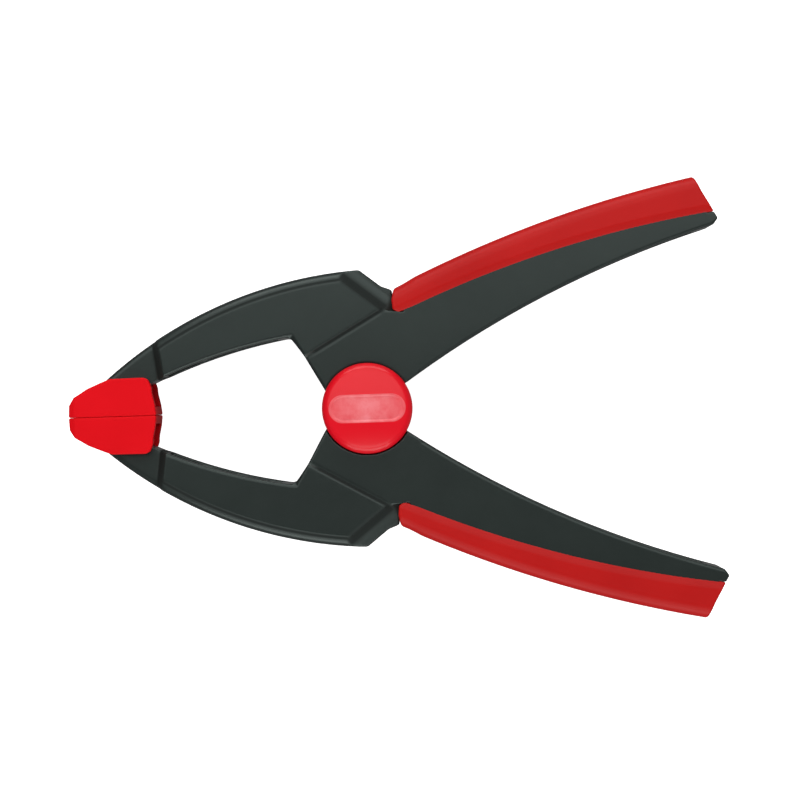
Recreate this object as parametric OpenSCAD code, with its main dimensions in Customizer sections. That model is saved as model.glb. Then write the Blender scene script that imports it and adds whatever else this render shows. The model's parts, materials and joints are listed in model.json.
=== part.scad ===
// Spring clamp with swivelling jaw pads, lying on its side.
// X runs along the clamp (jaws towards -X, handles towards +X), the hinge pin runs along Z,
// and Z = 0 is the flat outer face of the rear hub cap.
// The upper and lower arms are one moulding: the lower one is the upper one turned over about X.

/* [Widths along the hinge pin] */
// Overall thickness, cap to cap
total_t = 26; // [25.4:0.1:28]
// Width of the raised jaw panels and of the grips
jaw_w = 20; // [19.6:0.1:20.4]
// Width of the handle and hub faces
face_w = 19; // [18.8:0.1:19.2]
// Width of the jaw tip that carries the pad
tip_w = 13; // [12:0.1:13.2]
// Width of the hollow inside the arms
hollow_w = 13.5; // [13.3:0.1:13.6]
// Width of the handle core under the grip
core_w = 15.6; // [15:0.1:16]
// Width of the hollow inside the handle core
core_hollow_w = 10.8; // [10:0.1:11.4]

/* [Jaws] */
// Radius of the jaw's curved back
jaw_back_r = 103.6; // [103.4:0.05:103.8]
// Radius of the curved throat side
throat_r = 129.6; // [129.3:0.05:129.8]
// Wall thickness of the jaw's back
jaw_wall = 3; // [2.4:0.1:3.6]
// Rounding of the jaw's outer rim
rim_r = 1.8; // [1.5:0.1:2.2]
// Number of cross ribs in the jaw
jaw_ribs = 4; // [2:1:5]
// Thickness of every rib
rib_t = 1.8; // [1.2:0.1:2.4]

/* [Handles] */
// Radius of the handle's outer side, over the grip
handle_r = 305.8; // [305.4:0.1:306.2]
// Radius of the handle's inner side
palm_r = 258.8; // [258.4:0.1:259.2]
// Radius of the edge between the grip and the arm
grip_edge_r = 279.7; // [279.4:0.1:280]
// Thickness of the soft grip over the handle core
grip_t = 2.2; // [1.8:0.1:2.4]
// Rounding of the grip's outer edges
grip_round = 5.5; // [4:0.1:6]
// Wall thickness of the handle core
core_wall = 2.4; // [2:0.1:2.6]
// Number of cross ribs in the handle
handle_ribs = 3; // [1:1:4]

/* [Hub] */
// Radius of the hub caps
cap_r = 11; // [10.9:0.05:11]
// Radius of the hinge lugs
lug_r = 10.6; // [10.2:0.05:10.7]
// Radius of the hinge pin
pin_r = 3; // [2.8:0.05:3]
// Radial clearance of the hinge pin in the lugs
pin_play = 0.05; // [0.03:0.01:0.1]
// Wire diameter of the torsion spring
wire_d = 2.4; // [2:0.1:2.4]
// Radius of the spring coil, to the middle of the wire
coil_r = 6.5; // [6.3:0.05:6.6]
// Length of each spring leg
leg_l = 50; // [40:1:51]

/* [Pads] */
// Width of the jaw pads
pad_w = 19; // [18:0.1:20]
// Thickness of the pad under the jaw tip
pad_base = 2.1; // [1.6:0.1:2.1]
// Radius of the pad pins
pad_pin_r = 1.5; // [1.3:0.05:1.5]
// Gap left between the closed pads
pad_gap = 0.2; // [0.1:0.05:0.4]

/* [Hidden] */

$fn = 96;
arc_fn = 720;

// Centres of the large arcs of the upper arm's outline; the hinge is at [0, 0].
jaw_back_c = [4, -69.8];
throat_c = [1.4, -110.2];
handle_c = [140, -246.4];
palm_c = [156.7, -207];
grip_edge_c = [123.5, -232.2];

// Corners of the upper arm's outline.
throat_end_x = -17.3;
throat_curve = [[-18.6, 17.85], [-17.6, 17.6], [-16.95, 16.9]];
throat_root = [-9.6, 3.8];
knee = [-1, 33.7];
knee_low = [4.3, 29.5];
notch = [6.9, 28.6];
grip_start = [[7.1, 25.6], [7.7, 23.8], [9.2, 22.9]];
palm_root = [10.5, 6.6];
end_top = [80.9, 52.9];
end_low = [86.4, 43.3];
end_heel = [85.4, 41.9];

// Corners of the raised jaw panel, and the flat left between it and the rounded rim.
panel_margin = 0.15;
step_top = [-51.9, 18.6];
step_low = [-50.4, 8];
knee_in = [-4.9, 31];
panel_end = [4.2, 23.8];
panel_root = [-13.4, 13.7];

// The hub, in layers out from the middle of the clamp's thickness.
spring_half = 4.4;
lug_gap = 0.15;
lug_split = hollow_w / 2 - lug_gap;
lug_face = 9.25;
hub_recess_r = cap_r + 0.2;
boss_r = 16;
washer_t = 0.6;
head_t = 1.6;
ring_t = 0.8;

// The jaw pad's pivot, and the jaw tip rounded about it.
pad_pivot = [-61.3, 6];
back_dir = (pad_pivot - jaw_back_c) / norm(pad_pivot - jaw_back_c);
tip_r = jaw_back_r - norm(pad_pivot - jaw_back_c) - 0.04;
pad_socket = 1.7;
cheek_gap = 0.3;

black = "#2f3331";
red = "#d2161c";
grip_red = "#bd1a17";
steel = "#b9bcbf";

// ---------------------------------------------------------------- helpers

module disc(centre, radius) {
    translate(centre) circle(radius, $fn = arc_fn);
}

// A flat outline made solid to a given width, centred on the clamp's middle plane.
module slab(width) {
    translate([0, 0, -width / 2]) linear_extrude(width) children();
}

// A layer between two heights measured from the middle plane.
module layer(from, to) {
    translate([0, 0, from]) linear_extrude(to - from) children();
}

module in_place() {
    translate([0, 0, total_t / 2]) children();
}

// The lower parts are the upper ones turned over about X.
module turned() {
    rotate([180, 0, 0]) children();
}

// Half of a bar's section, with its outer corners rounded, for sweeping round an arc.
module bar_section(inner, outer, width, corner) {
    half = width / 2;
    translate([inner, -half]) square([outer - inner - corner, width]);
    translate([inner, corner - half]) square([outer - inner, width - 2 * corner]);
    for (side = [-1, 1])
        translate([outer - corner, side * (half - corner)]) circle(corner);
}

// Sweeps a section round a centre from one angle through a span.
module sweep(centre, start, span) {
    translate(centre) rotate([0, 0, start]) rotate_extrude(angle = span, $fn = arc_fn) children();
}

// ---------------------------------------------------------------- arm outlines

module jaw_outline(from_back = 0, from_throat = 0) {
    intersection() {
        difference() {
            disc(jaw_back_c, jaw_back_r - from_back);
            disc(throat_c, throat_r + from_throat);
        }
        polygon([
            pad_pivot - 12 * back_dir, pad_pivot + 12 * back_dir,
            [-30, 40], [throat_end_x, 40], [throat_end_x, 0]
        ]);
    }
}

module hub_outline() {
    intersection() {
        disc(jaw_back_c, jaw_back_r);
        polygon([
            each throat_curve, throat_root, [0, 0], palm_root,
            [16, 10.2], [16, 20], grip_start[2], grip_start[1], grip_start[0],
            notch, knee_low, knee, [knee.x, 40], [throat_curve[0].x, 40]
        ]);
    }
}

// The handle between two arcs, cut to a set distance from its slanted end.
module handle_outline(outer_c, outer_r, from_end = 0, inner_r = palm_r) {
    shift = [-from_end, 0];
    intersection() {
        difference() {
            disc(outer_c, outer_r);
            disc(palm_c, inner_r);
        }
        polygon([
            [notch.x, 0], [notch.x, 60], [76, 60],
            end_top + [-4, 6.9] + shift, end_top + shift, end_low + shift, end_heel + shift,
            [80, 30], [40, 0]
        ]);
    }
}

// The flat jaw panel that stands proud of the rim and of the hub face.
module panel_outline() {
    intersection() {
        union() {
            jaw_outline(rim_r + panel_margin);
            intersection() {
                disc(jaw_back_c, jaw_back_r - rim_r - panel_margin);
                hub_outline();
            }
        }
        polygon([step_low + [0.3, -4], step_top, [-40, 40], [-10, 40], knee_in, panel_end, panel_root,
            [-18, 5]]);
    }
}

// ---------------------------------------------------------------- arm

module jaw_and_hub() {
    difference() {
        union() {
            slab(tip_w) {
                jaw_outline();
                translate(pad_pivot) circle(tip_r);
            }
            slab(face_w) {
                intersection() {
                    jaw_outline();
                    polygon([step_low + [0.3, -4], step_top, [-40, 40], [0, 40], [0, 0]]);
                }
                hub_outline();
            }
            slab(jaw_w) panel_outline();
        }
        jaw_rim_cut();
        knee_bevel();
    }
}

// Rounds both edges of the jaw's curved back.
module jaw_rim_cut() {
    edge = face_w / 2;
    sweep(jaw_back_c, 86, 49)
        for (side = [-1, 1])
            scale([1, side])
                difference() {
                    translate([jaw_back_r - rim_r, edge - rim_r]) square(rim_r + 1);
                    translate([jaw_back_r - rim_r, edge - rim_r]) circle(rim_r);
                }
}

// Slopes the panel down to the notch behind the knee, on both faces.
module knee_bevel() {
    along = panel_end - knee_in;
    slope = 34;
    for (side = [0, 1])
        mirror([0, 0, side])
            intersection() {
                translate([knee_in.x, knee_in.y, jaw_w / 2])
                    rotate([0, 0, atan2(along.y, along.x)])
                        rotate([-slope, 0, 0])
                            translate([-15, 0, 0]) cube([40, 20, 20]);
                translate([-20, panel_end.y, 0]) cube([40, 20, 20]);
            }
}

module handle_body() {
    slab(face_w) handle_outline(grip_edge_c, grip_edge_r);
    slab(core_w) handle_outline(handle_c, handle_r - grip_t, from_end = grip_t * 1.2);
}

// The hollow inside the arm, open towards the other arm.
module arm_hollow() {
    slab(hollow_w) {
        intersection() {
            difference() {
                disc(jaw_back_c, jaw_back_r - jaw_wall);
                translate(jaw_back_c) circle(20);
            }
            polygon([[-49, 0], [-49, 40], [-8, 40], knee_in + [0.6, -2.6], panel_end + [0.2, -1.4],
                panel_root + [-1, 1.6], [-20, 0]]);
        }
        hub_hollow_outline();
        difference() {
            handle_outline(grip_edge_c, grip_edge_r - core_wall, from_end = 4, inner_r = palm_r - 5);
            translate([-1, 0]) square([9, 60]);
        }
    }
    slab(core_hollow_w)
        difference() {
            handle_outline(handle_c, handle_r - grip_t - core_wall, from_end = 6, inner_r = palm_r - 5);
            translate([-1, 0]) square([9, 60]);
        }
}

module hub_hollow_outline() {
    polygon([panel_root + [0.4, -2.2], panel_end + [-1, -3.2], [12, 21.5], [30, 26], [24, 8], [0, -8],
        [-16, 4]]);
}

module cross_rib(centre, radius, angle) {
    translate(centre) rotate([0, 0, angle])
        translate([radius - 24, -rib_t / 2]) square([24, rib_t]);
}

module arm_ribs() {
    slab(hollow_w + 0.2)
        for (i = [1:jaw_ribs])
            intersection() {
                jaw_outline(1, 1);
                cross_rib(jaw_back_c, jaw_back_r, 97 + 24 * i / (jaw_ribs + 0.6));
            }
    slab(core_hollow_w + 0.2)
        for (i = [1:handle_ribs])
            intersection() {
                handle_outline(handle_c, handle_r - grip_t - 1, from_end = 5, inner_r = palm_r + 1);
                cross_rib(handle_c, handle_r - grip_t, 110.4 - 7.2 * i / handle_ribs);
            }
}

// Two lugs: one at the front face, one inside the other arm's rear lug.
module arm_lugs() {
    layer(hollow_w / 2, lug_face) circle(lug_r);
    layer(-lug_split, -spring_half) circle(lug_r);
}

// Joins the inner lug to the arm's rear wall.
module lug_boss() {
    layer(-lug_face, -spring_half)
        intersection() {
            circle(boss_r);
            hub_outline();
        }
}

module arm() {
    difference() {
        union() {
            difference() {
                union() {
                    difference() {
                        union() {
                            jaw_and_hub();
                            handle_body();
                        }
                        arm_hollow();
                    }
                    arm_ribs();
                    lug_boss();
                }
                // Room for the other arm's lug at the rear, and for both caps.
                translate([0, 0, -20 - lug_split]) cylinder(20, r = hub_recess_r);
                translate([0, 0, lug_face]) cylinder(20, r = hub_recess_r);
            }
            arm_lugs();
        }
        translate([0, 0, -20]) cylinder(40, r = pin_r + pin_play);
        translate([pad_pivot.x, pad_pivot.y, -20]) cylinder(40, r = pad_pin_r);
    }
}

module upper_arm() {
    color(black) in_place() arm();
}

module lower_arm() {
    color(black) in_place() turned() arm();
}

// ---------------------------------------------------------------- grips

module grip() {
    difference() {
        intersection() {
            sweep(handle_c, 99, 19)
                bar_section(handle_r - 14, handle_r, jaw_w, grip_round);
            slab(jaw_w + 2)
                polygon([
                    [grip_start[0].x, 34], each grip_start, [20, 20], [84, 30], end_low,
                    end_top, end_top + [-0.5, 0.5], end_top + [-6, 7], [20, 60]
                ]);
        }
        slab(jaw_w + 2) disc(grip_edge_c, grip_edge_r);
        slab(core_w) handle_outline(handle_c, handle_r - grip_t, from_end = grip_t * 1.2);
    }
}

module upper_grip() {
    color(grip_red) in_place() grip();
}

module lower_grip() {
    color(grip_red) in_place() turned() grip();
}

// ---------------------------------------------------------------- pads

module pad_outline() {
    polygon([
        [-72.4, pad_gap / 2], [-72.2, 3], [-71, 4.9], [-67.8, 6.7], [-64, 8.1], [-62, 8.8], [-54.9, 9.6],
        [-53.9, 9.1], [-52.6, 6.7], [-51.7, 2.6], [-51.4, pad_gap / 2]
    ]);
}

module pad() {
    difference() {
        slab(pad_w) pad_outline();
        slab(tip_w + 2 * cheek_gap) {
            translate(pad_pivot) circle(pad_pivot.y - pad_base);
            polygon([[pad_pivot.x - 4.6, 12], [pad_pivot.x - 3.9, pad_pivot.y],
                [pad_pivot.x, pad_base], [-45, pad_base], [-45, 12]]);
        }
        translate([pad_pivot.x, pad_pivot.y, -tip_w / 2 - cheek_gap - pad_socket])
            cylinder(tip_w + 2 * (cheek_gap + pad_socket), r = pad_pin_r + pin_play);
    }
}

module pad_pin() {
    length = tip_w + 2 * (cheek_gap + pad_socket) - 0.3;
    translate([pad_pivot.x, pad_pivot.y, -length / 2]) cylinder(length, r = pad_pin_r);
}

module upper_pad() {
    color(red) in_place() pad();
}

module lower_pad() {
    color(red) in_place() turned() pad();
}

module upper_pad_pin() {
    color(steel) in_place() pad_pin();
}

module lower_pad_pin() {
    color(steel) in_place() turned() pad_pin();
}

// ---------------------------------------------------------------- spring

// The spring's middle line: a straight leg in the lower handle, the coil, and a leg in the upper one.
leg_angle = 36;
coil_turns = 2 + (360 - 2 * (leg_angle + 90)) / 360;
coil_rise = 2 * spring_half - wire_d - 0.2;
coil_steps = 60;
wire_sides = 10;

function coil_point(t) =
    let (a = -(leg_angle + 90) - 360 * coil_turns * t)
        [coil_r * cos(a), coil_r * sin(a), coil_rise * (t - 0.5)];
function leg_end(side) =
    let (start = coil_point(side > 0 ? 1 : 0))
        start + leg_l * [cos(leg_angle), side * sin(leg_angle), 0];

spring_path = concat(
    [leg_end(-1), leg_end(-1) * 0.5 + coil_point(0) * 0.5],
    [for (i = [0:coil_steps]) coil_point(i / coil_steps)],
    [leg_end(1) * 0.5 + coil_point(1) * 0.5, leg_end(1)]
);

function path_dir(p, i) =
    let (last = len(p) - 1, v = p[min(i + 1, last)] - p[max(i - 1, 0)]) v / norm(v);

// A ring of points round the wire at each point of the path.
function wire_ring(p, i, radius, sides) =
    let (
        t = path_dir(p, i),
        side_raw = cross(t, [0, 0, 1]),
        u = side_raw / norm(side_raw),
        v = cross(u, t)
    )
    [for (k = [0:sides - 1]) p[i] + radius * (cos(360 * k / sides) * u + sin(360 * k / sides) * v)];

module wire(path, radius, sides) {
    n = len(path);
    points = [for (i = [0:n - 1]) each wire_ring(path, i, radius, sides)];
    skin = [
        for (i = [0:n - 2], k = [0:sides - 1])
            let (next = (k + 1) % sides)
                [i * sides + k, i * sides + next, (i + 1) * sides + next, (i + 1) * sides + k]
    ];
    start_cap = [[for (k = [sides - 1:-1:0]) k]];
    end_cap = [[for (k = [0:sides - 1]) (n - 1) * sides + k]];
    polyhedron(points, concat(skin, start_cap, end_cap));
}

module torsion_spring() {
    color(steel) in_place() wire(spring_path, wire_d / 2, wire_sides);
}

// ---------------------------------------------------------------- hinge pin and its hardware

module spring_bush() {
    color("#e8e6dc") in_place()
        difference() {
            cylinder(2 * spring_half - 0.1, r = coil_r - wire_d / 2 - 0.2, center = true);
            cylinder(40, r = pin_r + pin_play, center = true);
        }
}

module pivot_pin() {
    head_z = lug_face + washer_t;
    tail_z = lug_face + washer_t + ring_t + 0.6;
    color(steel) in_place() {
        translate([0, 0, -tail_z]) cylinder(tail_z + head_z, r = pin_r);
        translate([0, 0, head_z]) cylinder(head_t, r = pin_r + 1.5);
    }
}

module flat_washer() {
    difference() {
        cylinder(washer_t, r = pin_r * 2);
        translate([0, 0, -1]) cylinder(washer_t + 2, r = pin_r + pin_play);
    }
}

module front_washer() {
    color(steel) in_place() translate([0, 0, lug_face]) flat_washer();
}

module rear_washer() {
    color(steel) in_place() turned() translate([0, 0, lug_face]) flat_washer();
}

// Push-on ring that grips the pin's tail, with slits between its teeth.
module retaining_ring() {
    slits = 6;
    slit_w = 0.8;
    color(steel) in_place() turned() translate([0, 0, lug_face + washer_t])
        difference() {
            cylinder(ring_t, r = pin_r + 2.2);
            translate([0, 0, -1]) cylinder(ring_t + 2, r = pin_r);
            for (i = [0:slits - 1])
                rotate([0, 0, 360 / slits * i])
                    translate([0, -slit_w / 2, -1]) cube([pin_r + 1.2, slit_w, ring_t + 2]);
        }
}

// ---------------------------------------------------------------- hub caps

// A domed snap-on cap; its collar grips what it is pushed onto.
module hub_cap(collar_r) {
    height = total_t / 2 - lug_face;
    roof = 1.3;
    wall = 1.5;
    edge = 1.6;
    collar_h = height - roof - washer_t - 0.05;
    gap = 0.05;
    translate([0, 0, lug_face])
        difference() {
            rotate_extrude()
                difference() {
                    union() {
                        translate([0, gap]) square([cap_r, height - edge - gap]);
                        square([cap_r - edge, height]);
                        translate([cap_r - edge, height - edge]) circle(edge);
                    }
                    translate([-cap_r, 0]) square([cap_r, height]);
                    translate([0, -1]) square([cap_r + 1, 1 + gap]);
                }
            difference() {
                translate([0, 0, -1]) cylinder(height - roof + 1, r = cap_r - wall);
                translate([0, 0, height - roof - collar_h]) cylinder(collar_h + 1, r = collar_r + 1.2);
            }
            cylinder(height - roof, r = collar_r);
        }
}

// Plain round-ended panel sunk into the front cap.
module cap_panel() {
    half = 5.6;
    end_r = 3;
    depth = 0.35;
    translate([0, 0, total_t / 2 - depth])
        linear_extrude(depth + 1) {
            square([2 * half, 2 * end_r], center = true);
            for (side = [-1, 1]) translate([side * half, 0]) circle(end_r);
        }
}

module front_hub_cap() {
    color(red) in_place()
        difference() {
            hub_cap(pin_r + 1.5);
            cap_panel();
        }
}

module rear_hub_cap() {
    color(red) in_place() turned() hub_cap(pin_r + 2.2);
}

upper_arm();
lower_arm();
upper_grip();
lower_grip();
upper_pad();
lower_pad();
upper_pad_pin();
lower_pad_pin();
torsion_spring();
spring_bush();
pivot_pin();
front_washer();
rear_washer();
retaining_ring();
front_hub_cap();
rear_hub_cap();
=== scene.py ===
"""Looks of a spring clamp on its side: satin black arms, soft red grips, red pads and glossy hub caps."""

import json
import math

import bmesh
import bpy
import numpy as np
from mathutils import Matrix, Vector

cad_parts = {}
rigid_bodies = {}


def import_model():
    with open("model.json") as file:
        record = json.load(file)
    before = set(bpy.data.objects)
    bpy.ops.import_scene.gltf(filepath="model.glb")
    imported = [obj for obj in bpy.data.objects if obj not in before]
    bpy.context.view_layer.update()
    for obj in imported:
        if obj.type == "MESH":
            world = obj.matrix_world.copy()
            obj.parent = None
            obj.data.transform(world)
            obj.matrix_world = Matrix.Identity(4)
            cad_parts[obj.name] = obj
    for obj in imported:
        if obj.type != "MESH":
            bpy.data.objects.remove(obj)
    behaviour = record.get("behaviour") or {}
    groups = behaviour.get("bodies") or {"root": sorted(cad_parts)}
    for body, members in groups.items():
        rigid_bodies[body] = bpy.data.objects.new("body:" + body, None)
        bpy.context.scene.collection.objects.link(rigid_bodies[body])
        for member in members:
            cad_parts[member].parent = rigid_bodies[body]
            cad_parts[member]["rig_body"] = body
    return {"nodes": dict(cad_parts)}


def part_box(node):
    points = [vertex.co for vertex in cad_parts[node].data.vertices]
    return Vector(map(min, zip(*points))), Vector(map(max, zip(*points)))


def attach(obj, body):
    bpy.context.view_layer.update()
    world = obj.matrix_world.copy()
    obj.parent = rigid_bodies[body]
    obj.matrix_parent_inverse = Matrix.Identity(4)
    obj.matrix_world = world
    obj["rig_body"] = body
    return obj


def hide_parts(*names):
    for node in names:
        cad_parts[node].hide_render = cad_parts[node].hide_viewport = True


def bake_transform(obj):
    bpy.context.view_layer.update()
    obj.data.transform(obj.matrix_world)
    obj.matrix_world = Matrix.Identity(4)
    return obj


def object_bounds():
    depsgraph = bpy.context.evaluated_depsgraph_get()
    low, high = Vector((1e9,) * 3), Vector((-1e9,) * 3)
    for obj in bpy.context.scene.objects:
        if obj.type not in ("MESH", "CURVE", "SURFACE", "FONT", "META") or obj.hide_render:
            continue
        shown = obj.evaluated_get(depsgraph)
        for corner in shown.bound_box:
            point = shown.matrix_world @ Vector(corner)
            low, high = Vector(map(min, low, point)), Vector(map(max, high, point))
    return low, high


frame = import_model()
cad_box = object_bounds()
MM = 0.001

# The hinge runs along Z through the origin.
# MID_Z is half way through the clamp, and the faces lie this far above and below it.
MID_Z = (cad_box[0].z + cad_box[1].z) / 2
ARM_FACE = 9.5 * MM
PANEL_FACE = 10 * MM
TIP_FACE = 6.5 * MM
GRIP_FACE = 10 * MM
PAD_FACE = 9.5 * MM

# The upper grip: the arc where it meets the arm, its start, the arc of its back, the rounding of its
# back corners in the CAD model, and the tighter one they get here.
GRIP_EDGE_C = Vector((123.5, -232.2)) * MM
GRIP_EDGE_R = 279.7 * MM
GRIP_START_X = 7.1 * MM
GRIP_BACK_C = Vector((140.0, -246.4)) * MM
GRIP_BACK_R = 305.8 * MM
GRIP_ROUND = 5.5 * MM
GRIP_EDGE_ROUND = 3 * MM

# The plain round-ended panel printed on the front cap, and the cap's radius and dome.
LABEL_HALF = 5.9 * MM
LABEL_R = 3.4 * MM
CAP_R = 11 * MM
CAP_DOME = 1.9 * MM

# The spring: its wire, its coil and its legs, which lie at LEG_ANGLE above and below the clamp's long axis.
WIRE_R = 1.2 * MM
COIL_R = 6.5 * MM
COIL_RISE = 6.2 * MM
LEG_ANGLE = math.radians(36)
LEG_L = 50 * MM
COIL_TURNS = 3 - 2 * (LEG_ANGLE + math.pi / 2) / (2 * math.pi)

# The upper jaw: the arc of the crease inside its rim, the rim's width, the straight edges of its raised panel
# towards the hub, the knee and the tip, and the length of the slope down to the tip.
RIM_CREASE_C = Vector((4.0, -69.8)) * MM
RIM_CREASE_R = 101.7 * MM
RIM_WIDTH = 1.9 * MM
HUB_CREASE = [Vector((-13.4, 13.7)) * MM, Vector((4.2, 23.8)) * MM]
KNEE_EDGE = [Vector((4.2, 23.8)) * MM, Vector((-4.9, 31.0)) * MM]
TIP_STEP = [Vector((-50.4, 8.0)) * MM, Vector((-51.9, 18.6)) * MM]
TIP_SLOPE = 1.5 * MM

# The upper arm's inner side: the throat's arc and straight wall, and the palm side of the handle.
THROAT_C = Vector((1.4, -110.2)) * MM
THROAT_R = 129.6 * MM
THROAT_WALL = [Vector((-17.4, 17.2)) * MM, Vector((-9.6, 3.8)) * MM]
PALM_C = Vector((156.7, -207.0)) * MM
PALM_R = 258.8 * MM


# ---------------------------------------------------------------- materials

def new_material(name):
    """A node material; returns it with its tree and its Principled shader."""
    material = bpy.data.materials.new(name)
    material.use_nodes = True
    tree = material.node_tree
    return material, tree, tree.nodes["Principled BSDF"]


def place_of(tree):
    """The place on the object, in its own coordinates, which are metres."""
    return tree.nodes.new("ShaderNodeTexCoord").outputs["Object"]


def noise(tree, scale, detail=2.0, rough=0.5, stretch=None):
    node = tree.nodes.new("ShaderNodeTexNoise")
    node.inputs["Scale"].default_value = scale
    node.inputs["Detail"].default_value = detail
    node.inputs["Roughness"].default_value = rough
    vector = place_of(tree)
    if stretch:
        mapping = tree.nodes.new("ShaderNodeMapping")
        mapping.inputs["Scale"].default_value = stretch
        tree.links.new(vector, mapping.inputs["Vector"])
        vector = mapping.outputs["Vector"]
    tree.links.new(vector, node.inputs["Vector"])
    return node.outputs["Fac"]


def ramp(tree, value, stops):
    """A colour ramp over value; stops are (place, colour) pairs."""
    node = tree.nodes.new("ShaderNodeValToRGB")
    elements = node.color_ramp.elements
    while len(elements) < len(stops):
        elements.new(0.5)
    for element, (place, colour) in zip(elements, stops):
        element.position = place
        element.color = (*colour, 1)
    tree.links.new(value, node.inputs["Fac"])
    return node.outputs["Color"]


def spread(tree, value, low, high, start=0.0, stop=1.0):
    """Maps start to stop onto low to high."""
    node = tree.nodes.new("ShaderNodeMapRange")
    node.inputs["From Min"].default_value = start
    node.inputs["From Max"].default_value = stop
    node.inputs["To Min"].default_value = low
    node.inputs["To Max"].default_value = high
    tree.links.new(value, node.inputs["Value"])
    return node.outputs["Result"]


def math_node(tree, operation, *values):
    node = tree.nodes.new("ShaderNodeMath")
    node.operation = operation
    for socket, value in zip(node.inputs, values):
        if isinstance(value, (int, float)):
            socket.default_value = value
        else:
            tree.links.new(value, socket)
    return node.outputs[0]


def blended(tree, share, low, high):
    """Mixes two colours, each a socket or an RGB triple."""
    node = tree.nodes.new("ShaderNodeMix")
    node.data_type = "RGBA"
    tree.links.new(share, node.inputs["Factor"])
    for socket, colour in ((node.inputs[6], low), (node.inputs[7], high)):
        if isinstance(colour, tuple):
            socket.default_value = (*colour, 1)
        else:
            tree.links.new(colour, socket)
    return node.outputs[2]


def edge_wear(tree, reach):
    """Where the surface turns within reach: 0 on flat faces, up to 1 on edges, broken up by noise."""
    rounded = tree.nodes.new("ShaderNodeBevel")
    rounded.samples = 4
    rounded.inputs["Radius"].default_value = reach
    geometry = tree.nodes.new("ShaderNodeNewGeometry")
    facing = tree.nodes.new("ShaderNodeVectorMath")
    facing.operation = "DOT_PRODUCT"
    tree.links.new(rounded.outputs["Normal"], facing.inputs[0])
    tree.links.new(geometry.outputs["Normal"], facing.inputs[1])
    turned = spread(tree, facing.outputs["Value"], 1, 0, 0.90, 0.995)
    return math_node(tree, "MULTIPLY", turned, spread(tree, noise(tree, 900, 3, 0.6), 0.2, 1, 0.35, 0.65))


def bump(tree, shader, layers):
    """Stacks bump layers, given as (height, strength, distance), into the shader's normal."""
    last = None
    for height, strength, distance in layers:
        node = tree.nodes.new("ShaderNodeBump")
        node.inputs["Strength"].default_value = strength
        node.inputs["Distance"].default_value = distance
        tree.links.new(height, node.inputs["Height"])
        if last:
            tree.links.new(last, node.inputs["Normal"])
        last = node.outputs["Normal"]
    tree.links.new(last, shader.inputs["Normal"])


def moulded_plastic(name, dark, light, worn, roughness, grain, depth, specular=0.5, coat=0.0):
    """Moulded plastic: slow colour change, uneven gloss, a fine moulded grain and edges rubbed paler."""
    material, tree, shader = new_material(name)
    body = ramp(tree, noise(tree, 55, 3), [(0.3, dark), (0.7, light)])
    wear = edge_wear(tree, 0.5 * MM)
    rubbed = math_node(tree, "MULTIPLY", wear, 0.6)
    tree.links.new(blended(tree, rubbed, body, worn), shader.inputs["Base Color"])
    smear = spread(tree, noise(tree, 160, 4, 0.6), *roughness)
    tree.links.new(math_node(tree, "SUBTRACT", smear, math_node(tree, "MULTIPLY", wear, 0.06)),
                   shader.inputs["Roughness"])
    bump(tree, shader, [(noise(tree, 260, 2), 0.10, 0.10 * MM), (noise(tree, grain, 2), 0.35, depth)])
    shader.inputs["Specular IOR Level"].default_value = specular
    shader.inputs["Coat Weight"].default_value = coat
    shader.inputs["Coat Roughness"].default_value = 0.08
    return material


def steel(name, colour, roughness, stretch):
    """Bright steel with fine lines drawn along one way, and a little dulling."""
    material, tree, shader = new_material(name)
    dull = tuple(0.72 * c for c in colour)
    tone = ramp(tree, noise(tree, 300, 4, 0.6), [(0.35, dull), (0.6, colour)])
    tree.links.new(tone, shader.inputs["Base Color"])
    lines = noise(tree, 500, 3, 0.5, stretch)
    wear = edge_wear(tree, 0.2 * MM)
    uneven = spread(tree, lines, *roughness)
    tree.links.new(math_node(tree, "SUBTRACT", uneven, math_node(tree, "MULTIPLY", wear, 0.08)),
                   shader.inputs["Roughness"])
    bump(tree, shader, [(lines, 0.2, 0.02 * MM)])
    shader.inputs["Metallic"].default_value = 1
    return material


def folded_place(tree):
    """The place seen along the hinge, with the lower arm folded up onto the upper one."""
    split = tree.nodes.new("ShaderNodeSeparateXYZ")
    tree.links.new(place_of(tree), split.inputs[0])
    flat = tree.nodes.new("ShaderNodeCombineXYZ")
    tree.links.new(split.outputs["X"], flat.inputs["X"])
    tree.links.new(math_node(tree, "ABSOLUTE", split.outputs["Y"]), flat.inputs["Y"])
    return flat.outputs[0]


def vector_node(tree, operation, first, second, output="Value"):
    node = tree.nodes.new("ShaderNodeVectorMath")
    node.operation = operation
    tree.links.new(first, node.inputs[0])
    node.inputs[1].default_value = second
    return node.outputs[output]


def off_line(tree, start, end):
    """How far the place lies to the right of a line, and how far along it."""
    along = (end - start).normalized()
    away = vector_node(tree, "SUBTRACT", folded_place(tree), (*start, 0), "Vector")
    return (vector_node(tree, "DOT_PRODUCT", away, (along.y, -along.x, 0)),
            vector_node(tree, "DOT_PRODUCT", away, (*along, 0)))


def within(tree, value, low, high, soft):
    """1 between low and high, falling to 0 over a soft margin outside them."""
    return math_node(tree, "MULTIPLY", spread(tree, value, 0, 1, low - soft, low),
                     spread(tree, value, 1, 0, high, high + soft))


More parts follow.
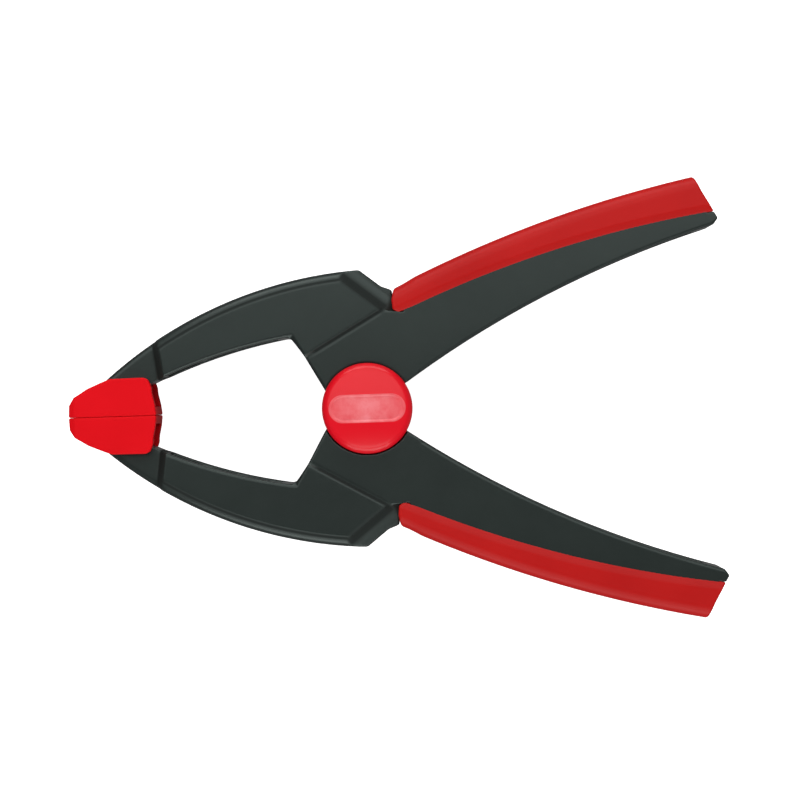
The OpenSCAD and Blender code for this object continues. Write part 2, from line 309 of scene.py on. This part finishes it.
def painted_crease_shade_mask(tree):
    """Where shade is painted into the arm: the creases, behind the knee and the step to the tip."""
    right, along = off_line(tree, *HUB_CREASE)
    hub = math_node(tree, "MULTIPLY", within(tree, right, -0.05 * MM, 0.4 * MM, 0.35 * MM),
                    within(tree, along, 1.5 * MM, 20 * MM, 2 * MM))
    outside, rise = off_line(tree, *KNEE_EDGE)
    knee = math_node(tree, "MULTIPLY", within(tree, outside, -0.1 * MM, 1.4 * MM, 0.9 * MM),
                     within(tree, rise, -0.3 * MM, 12.5 * MM, 0.8 * MM))
    inward, up = off_line(tree, *TIP_STEP)
    step = math_node(tree, "MULTIPLY", within(tree, inward, 0.1 * MM, TIP_SLOPE - 0.3 * MM, 0.4 * MM),
                     within(tree, up, -1 * MM, 9 * MM, 2 * MM))
    away = vector_node(tree, "DISTANCE", folded_place(tree), (*RIM_CREASE_C, 0))
    out = math_node(tree, "SUBTRACT", away, RIM_CREASE_R)
    split = tree.nodes.new("ShaderNodeSeparateXYZ")
    tree.links.new(place_of(tree), split.inputs[0])
    rim = math_node(tree, "MULTIPLY", within(tree, out, -0.3 * MM, 0.05 * MM, 0.45 * MM),
                    within(tree, split.outputs["X"], -51 * MM, -4 * MM, 1 * MM))
    inner = math_node(tree, "MAXIMUM", hub, knee)
    outer = math_node(tree, "MAXIMUM", step, rim)
    return math_node(tree, "MAXIMUM", inner, outer)


def arm_black():
    """Satin black glass-filled plastic, with painted shade darkening its creases."""
    material = moulded_plastic(
        "arm_black", (0.007, 0.0105, 0.0095), (0.010, 0.0145, 0.013), (0.020, 0.025, 0.023), (0.27, 0.35),
        5200, 0.03 * MM, specular=0.48)
    tree = material.node_tree
    shader = tree.nodes["Principled BSDF"]
    body = shader.inputs["Base Color"].links[0].from_socket
    # Painted shade: the mask darkens the base colour nearly to black in the creases, behind the knee and on
    # the step to the tip, and dulls the gloss there.
    creases = painted_crease_shade_mask(tree)
    painted_shade = math_node(tree, "MULTIPLY", creases, 0.85)
    tree.links.new(blended(tree, painted_shade, body, (0.002, 0.003, 0.0025)), shader.inputs["Base Color"])
    satin = shader.inputs["Roughness"].links[0].from_socket
    dulled = math_node(tree, "MULTIPLY", creases, 0.5)
    tree.links.new(math_node(tree, "ADD", satin, dulled), shader.inputs["Roughness"])
    shader.inputs["Specular Tint"].default_value = (0.86, 1, 0.95, 1)
    return material


ARM_BLACK = arm_black()
GRIP_RED = moulded_plastic(
    "grip_red", (0.45, 0.002, 0.0015), (0.50, 0.004, 0.003), (0.54, 0.010, 0.008), (0.38, 0.50),
    3800, 0.02 * MM, specular=0.20)
PAD_RED = moulded_plastic(
    "pad_red", (0.71, 0.002, 0.007), (0.77, 0.003, 0.009), (0.78, 0.010, 0.012), (0.50, 0.60),
    4200, 0.02 * MM, specular=0.08)
PIN_STEEL = steel("pin_steel", (0.62, 0.62, 0.63), (0.22, 0.34), (1, 1, 12))
SPRING_STEEL = steel("spring_steel", (0.46, 0.46, 0.47), (0.28, 0.42), (4, 4, 1))


def label_mask(tree):
    """1 inside the round-ended panel in the middle of the front cap, 0 outside it."""
    split = tree.nodes.new("ShaderNodeSeparateXYZ")
    tree.links.new(place_of(tree), split.inputs[0])
    past_straight = math_node(tree, "MAXIMUM", math_node(
        tree, "SUBTRACT", math_node(tree, "ABSOLUTE", split.outputs["X"]), LABEL_HALF), 0.0)
    squares = math_node(tree, "ADD", math_node(tree, "POWER", past_straight, 2.0),
                        math_node(tree, "POWER", math_node(tree, "ABSOLUTE", split.outputs["Y"]), 2.0))
    distance = math_node(tree, "SQRT", squares)
    outline = spread(tree, distance, 1, 0, LABEL_R - 0.1 * MM, LABEL_R + 0.1 * MM)
    front = spread(tree, split.outputs["Z"], 0, 1, MID_Z, MID_Z + MM)
    return math_node(tree, "MULTIPLY", outline, front)


def cap_red():
    """Glossy red plastic, with a plain round-ended panel printed paler across it, and worn at its ends."""
    material = moulded_plastic(
        "cap_red", (0.76, 0.002, 0.012), (0.80, 0.004, 0.016), (0.80, 0.02, 0.02), (0.26, 0.34),
        3000, 0.004 * MM, specular=0.22, coat=0.18)
    tree = material.node_tree
    shader = tree.nodes["Principled BSDF"]
    body = shader.inputs["Base Color"].links[0].from_socket
    split = tree.nodes.new("ShaderNodeSeparateXYZ")
    tree.links.new(place_of(tree), split.inputs[0])
    from_middle = math_node(tree, "ABSOLUTE", split.outputs["X"])
    kept = math_node(tree, "MULTIPLY", spread(tree, from_middle, 0.95, 0.5, 0, 8 * MM),
                     spread(tree, noise(tree, 420, 3, 0.6), 0.65, 1, 0.35, 0.6))
    print_share = math_node(tree, "MULTIPLY", label_mask(tree), kept)
    tree.links.new(blended(tree, print_share, body, (0.90, 0.24, 0.26)), shader.inputs["Base Color"])
    return material


CAP_RED = cap_red()


def nylon():
    """Milky uncoloured nylon."""
    material, tree, shader = new_material("natural_nylon")
    tone = ramp(tree, noise(tree, 220, 3), [(0.3, (0.70, 0.68, 0.60)), (0.7, (0.80, 0.78, 0.71))])
    tree.links.new(tone, shader.inputs["Base Color"])
    tree.links.new(spread(tree, noise(tree, 500, 3), 0.38, 0.5), shader.inputs["Roughness"])
    bump(tree, shader, [(noise(tree, 4000, 2), 0.2, 0.02 * MM)])
    shader.inputs["Subsurface Weight"].default_value = 0.2
    shader.inputs["Subsurface Radius"].default_value = (0.002, 0.002, 0.0015)
    return material


NYLON = nylon()


# ---------------------------------------------------------------- mesh helpers

def link(name, mesh):
    piece = bpy.data.objects.new(name, mesh)
    bpy.context.scene.collection.objects.link(piece)
    return piece


def applied(mesh, *modifiers):
    """The mesh after some modifiers, each given as (type, {setting: value})."""
    helper = link("helper", mesh)
    for kind, settings in modifiers:
        modifier = helper.modifiers.new(kind, kind)
        for setting, value in settings.items():
            setattr(modifier, setting, value)
    graph = bpy.context.evaluated_depsgraph_get()
    result = bpy.data.meshes.new_from_object(helper.evaluated_get(graph))
    bpy.data.objects.remove(helper)
    return result


def shaped(mesh, rule):
    """Moves every vertex as rule says; rule takes and returns an array of points."""
    points = np.empty(len(mesh.vertices) * 3, np.float32)
    mesh.vertices.foreach_get("co", points)
    mesh.vertices.foreach_set("co", rule(points.reshape(-1, 3).astype(float)).astype(np.float32).ravel())
    mesh.update()


def softened(node, voxel, passes, keep, extra=None, rule=None):
    """A CAD node with every edge rounded: remeshed finely, smoothed, then thinned where it is flat."""
    bm = bmesh.new()
    bm.from_mesh(frame["nodes"][node].data)
    bmesh.ops.remove_doubles(bm, verts=bm.verts, dist=0.002 * MM)
    if extra:
        extra(bm)
    mesh = bpy.data.meshes.new(node)
    bm.to_mesh(mesh)
    bm.free()
    fine = applied(mesh, ("REMESH", {"mode": "VOXEL", "voxel_size": voxel}))
    if rule:
        shaped(fine, rule)
        fine = applied(fine, ("REMESH", {"mode": "VOXEL", "voxel_size": voxel}))
    thin = applied(fine, ("SMOOTH", {"factor": 0.5, "iterations": passes}), ("DECIMATE", {"ratio": keep}))
    thin.polygons.foreach_set("use_smooth", [True] * len(thin.polygons))
    shaded = applied(thin, ("WEIGHTED_NORMAL", {"mode": "FACE_AREA", "weight": 50}))
    shaded.materials.clear()
    return shaded


def turned_over(mesh):
    """The same moulding turned over about the clamp's long axis, for the other side."""
    copy = mesh.copy()
    middle = Matrix.Translation((0, 0, MID_Z))
    copy.transform(middle @ Matrix.Rotation(math.pi, 4, "X") @ middle.inverted())
    return copy


def dress(name, mesh, node, material):
    """Puts a mesh in place of a CAD node, on the same body and with its material slot."""
    mesh.materials.append(material)
    piece = link(name, mesh)
    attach(piece, frame["nodes"][node]["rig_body"])
    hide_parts(node)
    return piece


# ---------------------------------------------------------------- arms, grips and pads

def prism(bm, outline):
    """A slab of the arm's thickness over an outline."""
    low = [bm.verts.new((*point, MID_Z - ARM_FACE)) for point in outline]
    high = [bm.verts.new((*point, MID_Z + ARM_FACE)) for point in outline]
    sides = [bm.faces.new((low[i - 1], low[i], high[i], high[i - 1])) for i in range(len(outline))]
    bmesh.ops.recalc_face_normals(bm, faces=sides + [bm.faces.new(low[::-1]), bm.faces.new(high)])


def arm_fillers(bm):
    """Black under the grip's edge, so that the arm's face runs on beneath it, and a fuller throat corner."""
    start, stop = math.radians(114.0), math.radians(98.2)
    steps = 60
    angles = [start + (stop - start) * i / steps for i in range(steps + 1)]
    ways = [Vector((math.cos(a), math.sin(a))) for a in angles]
    prism(bm, [GRIP_EDGE_C + way * (GRIP_EDGE_R - 0.8 * MM) for way in ways]
          + [GRIP_EDGE_C + way * (GRIP_EDGE_R + 1.2 * MM) for way in reversed(ways)])
    prism(bm, [Vector(point) * MM for point in (
        (-21.5, 17.5), (-19.4, 17.75), (-18.5, 17.65), (-17.8, 17.2), (-17.25, 16.5), (-16.3, 15.2),
        (-14.6, 12.8), (-13.5, 13.0), (-15.5, 17.0), (-17.0, 19.0), (-20.5, 19.0))])


def ease(value):
    """0 below 0, 1 above 1, and smooth between."""
    t = np.clip(value, 0, 1)
    return t * t * (3 - 2 * t)


def beyond(points, start, end):
    """How far each point lies to the right of the line from start to end."""
    along = (end - start).normalized()
    return (points[:, 0] - start.x) * along.y - (points[:, 1] - start.y) * along.x


def from_arc(points, centre, radius):
    """How far each point lies outside an arc."""
    return np.hypot(points[:, 0] - centre.x, points[:, 1] - centre.y) - radius


def rounding(inside, radius):
    """How far a rounded edge falls below its face, at a distance inside that edge."""
    gap = np.clip(1 - inside / radius, 0, 1)
    return radius * (1 - np.sqrt(1 - gap ** 2))


def limit_faces(points, limit):
    """Brings both faces down to a height above the middle."""
    points[:, 2] = MID_Z + np.clip(points[:, 2] - MID_Z, -limit, limit)


def arm_faces(points):
    """The arm's faces: raised panel, creases, rounded edges, cove behind the knee and slope to the tip."""
    x, y = points[:, 0], points[:, 1]
    right = beyond(points, *HUB_CREASE)
    face = np.where(right > 0, ARM_FACE, PANEL_FACE)
    on_crease = ease((x - HUB_CREASE[0].x) / (4 * MM) + 0.5) * ease((HUB_CREASE[1].x - x) / (2 * MM) + 0.5)
    groove_depth = 0.25 * MM
    groove = groove_depth * (1 - ease(right / MM)) * (1 - ease(-right / (0.3 * MM)))
    face = face - groove * on_crease

    inward = beyond(points, *TIP_STEP)
    slope = TIP_FACE + (PANEL_FACE - TIP_FACE) * np.clip(inward / TIP_SLOPE, 0, 1)
    face = np.minimum(face, slope)

    rim_face = PANEL_FACE - 0.6 * MM
    rim_round = 2.4 * MM
    crease_half = 0.5 * MM
    out = from_arc(points, RIM_CREASE_C, RIM_CREASE_R)
    turn = np.clip((out + crease_half) / rim_round, 0.2, 1)
    rim_fall = rim_round * (0.98 - np.sqrt(1 - turn ** 2))
    rim_fall = np.where(inward > 0, rim_fall, rounding(RIM_WIDTH - out, 1.2 * MM))
    rim = np.minimum(slope, rim_face) - rim_fall
    rim = np.where(out > 0, rim, np.minimum(face, rim_face - out * 1.2))
    face = np.where((x < -1 * MM) & (out > -crease_half), np.minimum(face, rim), face)

    foot = ease((x - 6 * MM) / (1.2 * MM)) * ease((y - 28.3 * MM) / MM) * (x < GRIP_START_X + MM)
    points[:, 1] -= 0.45 * MM * foot
    outside = beyond(points, *KNEE_EDGE)
    cove_depth = 2.2 * MM
    cove = cove_depth * (1 - np.exp(-outside / (1.3 * MM))) + 0.12 * outside
    behind_knee = (outside > 0) & (y > KNEE_EDGE[0].y - 0.3 * MM) & (x < GRIP_START_X + MM)
    face = np.where(behind_knee, np.minimum(face, PANEL_FACE - cove), face)

    edge = 0.5 * MM
    throat = from_arc(points, THROAT_C, THROAT_R)
    face = np.where((x < THROAT_WALL[0].x) & (inward > 0), face - rounding(throat, edge), face)
    wall = -beyond(points, *THROAT_WALL)
    on_wall = (x > THROAT_WALL[0].x) & (x < THROAT_WALL[1].x) & (y > THROAT_WALL[1].y)
    face = np.where(on_wall, face - rounding(wall, edge), face)
    palm = from_arc(points, PALM_C, PALM_R)
    face = np.where(x > 13 * MM, face - rounding(palm, edge), face)
    limit_faces(points, face)
    return points


def pad_faces(points):
    """Closes the seam between the pads, squares up the shoulder, and slopes the face off at the nose."""
    half_seam = 0.09 * MM
    points[:, 1] -= half_seam * (1 - ease(points[:, 1] / (1.5 * MM)))
    back = ease((points[:, 0] + 60 * MM) / (4 * MM))
    shoulder = ease((points[:, 1] - 5 * MM) / (4 * MM))
    tilt = 0.1
    points[:, 1] -= tilt * np.clip(points[:, 0] + 58.5 * MM, -4 * MM, 4 * MM) * shoulder
    points[:, 0] += (0.3 + 0.7 * shoulder) * MM * back
    nose = points[:, 0] - cad_box[0].x
    chamfer = 0.45 * (1.5 * MM - nose)
    limit_faces(points, PAD_FACE - np.maximum(chamfer, rounding(nose, 1.2 * MM)).clip(0))
    return points


def grip_faces(points):
    """Squares up the grip's rounded section, slopes it down to the arm, and slants its start."""
    start = 1 - ease((points[:, 0] - GRIP_START_X) / (6 * MM))
    slant = 0.3
    points[:, 0] += slant * (points[:, 1] - 25.5 * MM) * start - 0.3 * MM * start
    outer = from_arc(points, GRIP_BACK_C, GRIP_BACK_R)
    across = points[:, 2] - MID_Z
    u = outer + GRIP_ROUND
    v = np.abs(across) - (GRIP_FACE - GRIP_ROUND)
    reach = np.hypot(u, v)
    angle = np.arctan2(v, u)
    cosine, sine = np.abs(np.cos(angle)), np.abs(np.sin(angle))
    flat = GRIP_ROUND / np.maximum(cosine, sine)
    inner = GRIP_ROUND - GRIP_EDGE_ROUND
    lean = inner * (cosine + sine)
    corner = lean + np.sqrt(np.maximum(lean ** 2 - 2 * inner ** 2 + GRIP_EDGE_ROUND ** 2, 0))
    reached = np.where(flat * np.minimum(cosine, sine) > inner, corner, flat)
    growth = 1 + (reached / GRIP_ROUND - 1) * ease((reach - 4.7 * MM) / (0.5 * MM))
    in_corner = (u > 0) & (v > 0)
    points[:, 2] += np.where(in_corner, np.sign(across) * v * (growth - 1), 0)
    push = np.where(in_corner, u * (growth - 1), 0)
    away = points[:, :2] - np.array(GRIP_BACK_C)
    points[:, :2] += away / np.linalg.norm(away, axis=1)[:, None] * push[:, None]
    width = 1.7 * MM
    low = ARM_FACE + 0.02 * MM
    lip = from_arc(points, GRIP_EDGE_C, GRIP_EDGE_R)
    limit_faces(points, low + (GRIP_FACE - low) * np.clip(lip / width, 0, 1))
    return points


arm_mesh = softened("upper_arm", 0.25 * MM, 5, 0.22, extra=arm_fillers, rule=arm_faces)
grip_mesh = softened("upper_grip", 0.25 * MM, 5, 0.25, rule=grip_faces)
pad_mesh = softened("upper_pad", 0.2 * MM, 6, 0.35, rule=pad_faces)
for side, turn in (("upper", lambda mesh: mesh), ("lower", turned_over)):
    dress(f"{side}_arm_moulding", turn(arm_mesh), f"{side}_arm", ARM_BLACK)
    dress(f"{side}_soft_grip", turn(grip_mesh), f"{side}_grip", GRIP_RED)
    dress(f"{side}_jaw_pad", turn(pad_mesh), f"{side}_pad", PAD_RED)


# ---------------------------------------------------------------- spring and other steel

def spring_path():
    """The wire's middle line: a leg in the lower handle, the coil, and a leg in the upper handle."""
    steps = 110
    coil = []
    for i in range(steps + 1):
        turn = -(LEG_ANGLE + math.pi / 2) - 2 * math.pi * COIL_TURNS * i / steps
        height = MID_Z + COIL_RISE * (i / steps - 0.5)
        coil.append(Vector((COIL_R * math.cos(turn), COIL_R * math.sin(turn), height)))
    legs = [Vector((math.cos(LEG_ANGLE), side * math.sin(LEG_ANGLE), 0)) for side in (-1, 1)]
    lower = [coil[0] + legs[0] * LEG_L * share for share in (1, 0.97, 0.6, 0.2, 0.06)]
    upper = [coil[-1] + legs[1] * LEG_L * share for share in (0.06, 0.2, 0.6, 0.97, 1)]
    return lower + coil + upper


def spring():
    """Round wire swept along the path, with its cut ends chamfered."""
    path = spring_path()
    sides = 16
    bm = bmesh.new()
    rings = []
    for i, point in enumerate(path):
        along = (path[min(i + 1, len(path) - 1)] - path[max(i - 1, 0)]).normalized()
        across = along.cross(Vector((0, 0, 1))).normalized()
        up = across.cross(along)
        radius = WIRE_R * (0.75 if i in (0, len(path) - 1) else 1)
        rings.append([
            bm.verts.new(point + radius * (math.cos(a) * across + math.sin(a) * up))
            for a in (2 * math.pi * k / sides for k in range(sides))
        ])
    for a, b in zip(rings, rings[1:]):
        for k in range(sides):
            bm.faces.new((a[k], a[(k + 1) % sides], b[(k + 1) % sides], b[k]))
    bm.faces.new(reversed(rings[0]))
    bm.faces.new(rings[-1])
    bmesh.ops.recalc_face_normals(bm, faces=bm.faces)
    mesh = bpy.data.meshes.new("spring_wire")
    bm.to_mesh(mesh)
    bm.free()
    mesh.polygons.foreach_set("use_smooth", [True] * len(mesh.polygons))
    mesh.materials.append(SPRING_STEEL)
    piece = link("spring_wire", mesh)
    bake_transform(piece)
    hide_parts("torsion_spring")


spring()
for node, material in (
        ("upper_pad_pin", PIN_STEEL), ("lower_pad_pin", PIN_STEEL), ("pivot_pin", PIN_STEEL),
        ("front_washer", PIN_STEEL), ("rear_washer", PIN_STEEL), ("retaining_ring", SPRING_STEEL),
        ("spring_bush", NYLON)):
    for material_slot in frame["nodes"][node].material_slots:
        material_slot.material = material


# ---------------------------------------------------------------- hub caps

def domed(points):
    """Rounds the front cap's flat top down towards its rim."""
    from_hinge = np.hypot(points[:, 0], points[:, 1])
    height = ease((points[:, 2] - MID_Z - ARM_FACE) / (2 * MM))
    points[:, 2] -= CAP_DOME * (from_hinge / CAP_R) ** 2 * height
    return points


dress("front_cap", softened("front_hub_cap", 0.14 * MM, 5, 0.4, rule=domed), "front_hub_cap", CAP_RED)
dress("rear_cap", softened("rear_hub_cap", 0.14 * MM, 4, 0.3), "rear_hub_cap", CAP_RED)


# ---------------------------------------------------------------- stage, light and camera

def backdrop():
    """A wide floor that glows white for the camera only: it neither lights the clamp nor shows in gloss."""
    material, _, shader = new_material("pale_floor")
    shader.inputs["Base Color"].default_value = (0.93, 0.93, 0.93, 1)
    shader.inputs["Roughness"].default_value = 0.9
    shader.inputs["Specular IOR Level"].default_value = 0.1
    shader.inputs["Emission Color"].default_value = (1, 1, 1, 1)
    shader.inputs["Emission Strength"].default_value = 0.93
    mesh = bpy.data.meshes.new("floor")
    half = 10.0
    corners = [(-half, -half, 0), (half, -half, 0), (half, half, 0), (-half, half, 0)]
    mesh.from_pydata(corners, [], [(0, 1, 2, 3)])
    mesh.materials.append(material)
    floor = link("floor", mesh)
    floor.location.z = cad_box[0].z - 0.2 * MM
    floor.visible_diffuse = False
    floor.visible_glossy = False


def soft_light(name, place, aim, size, power):
    data = bpy.data.lights.new(name, "AREA")
    data.shape = "RECTANGLE"
    data.size, data.size_y = size
    data.energy = power
    lamp = bpy.data.objects.new(name, data)
    bpy.context.scene.collection.objects.link(lamp)
    lamp.location = place
    lamp.rotation_euler = (Vector(aim) - Vector(place)).to_track_quat("-Z", "Y").to_euler()


def studio():
    """A dim room, a large soft box above the upper side, a small one opposite, a low one along each side."""
    scene = bpy.context.scene
    world = bpy.data.worlds.new("studio")
    scene.world = world
    world.use_nodes = True
    world.node_tree.nodes["Background"].inputs["Color"].default_value = (1, 1, 1, 1)
    world.node_tree.nodes["Background"].inputs["Strength"].default_value = 0.22
    soft_light("overhead", (-0.1, 0.46, 0.75), (-0.1, 0.46, 0), (1.4, 0.8), 5.6)
    soft_light("opposite", (0.0, -0.5, 0.62), (0, 0, 0.01), (0.6, 0.2), 1.2)
    soft_light("upper_strip", (0.0, 0.5, 0.17), (0, 0, 0.01), (0.6, 0.26), 1.5)
    soft_light("lower_strip", (0.0, -0.5, 0.17), (0, 0, 0.01), (0.6, 0.26), 1.5)
    scene.view_settings.view_transform = "Standard"


def camera():
    """Looks straight down on the clamp, turned so that its right side is slightly up."""
    face_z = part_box("upper_arm")[1].z
    distance = 0.65
    half_view = 0.0967
    data = bpy.data.cameras.new("camera")
    data.sensor_width = 36
    data.lens = 18 * distance / half_view
    data.clip_start = 0.01
    eye = bpy.data.objects.new("camera", data)
    bpy.context.scene.collection.objects.link(eye)
    eye.location = (0.0080, 0.00175, face_z + distance)
    eye.rotation_euler = (0, 0, math.radians(-1.9))
    bpy.context.scene.camera = eye


backdrop()
studio()
camera()
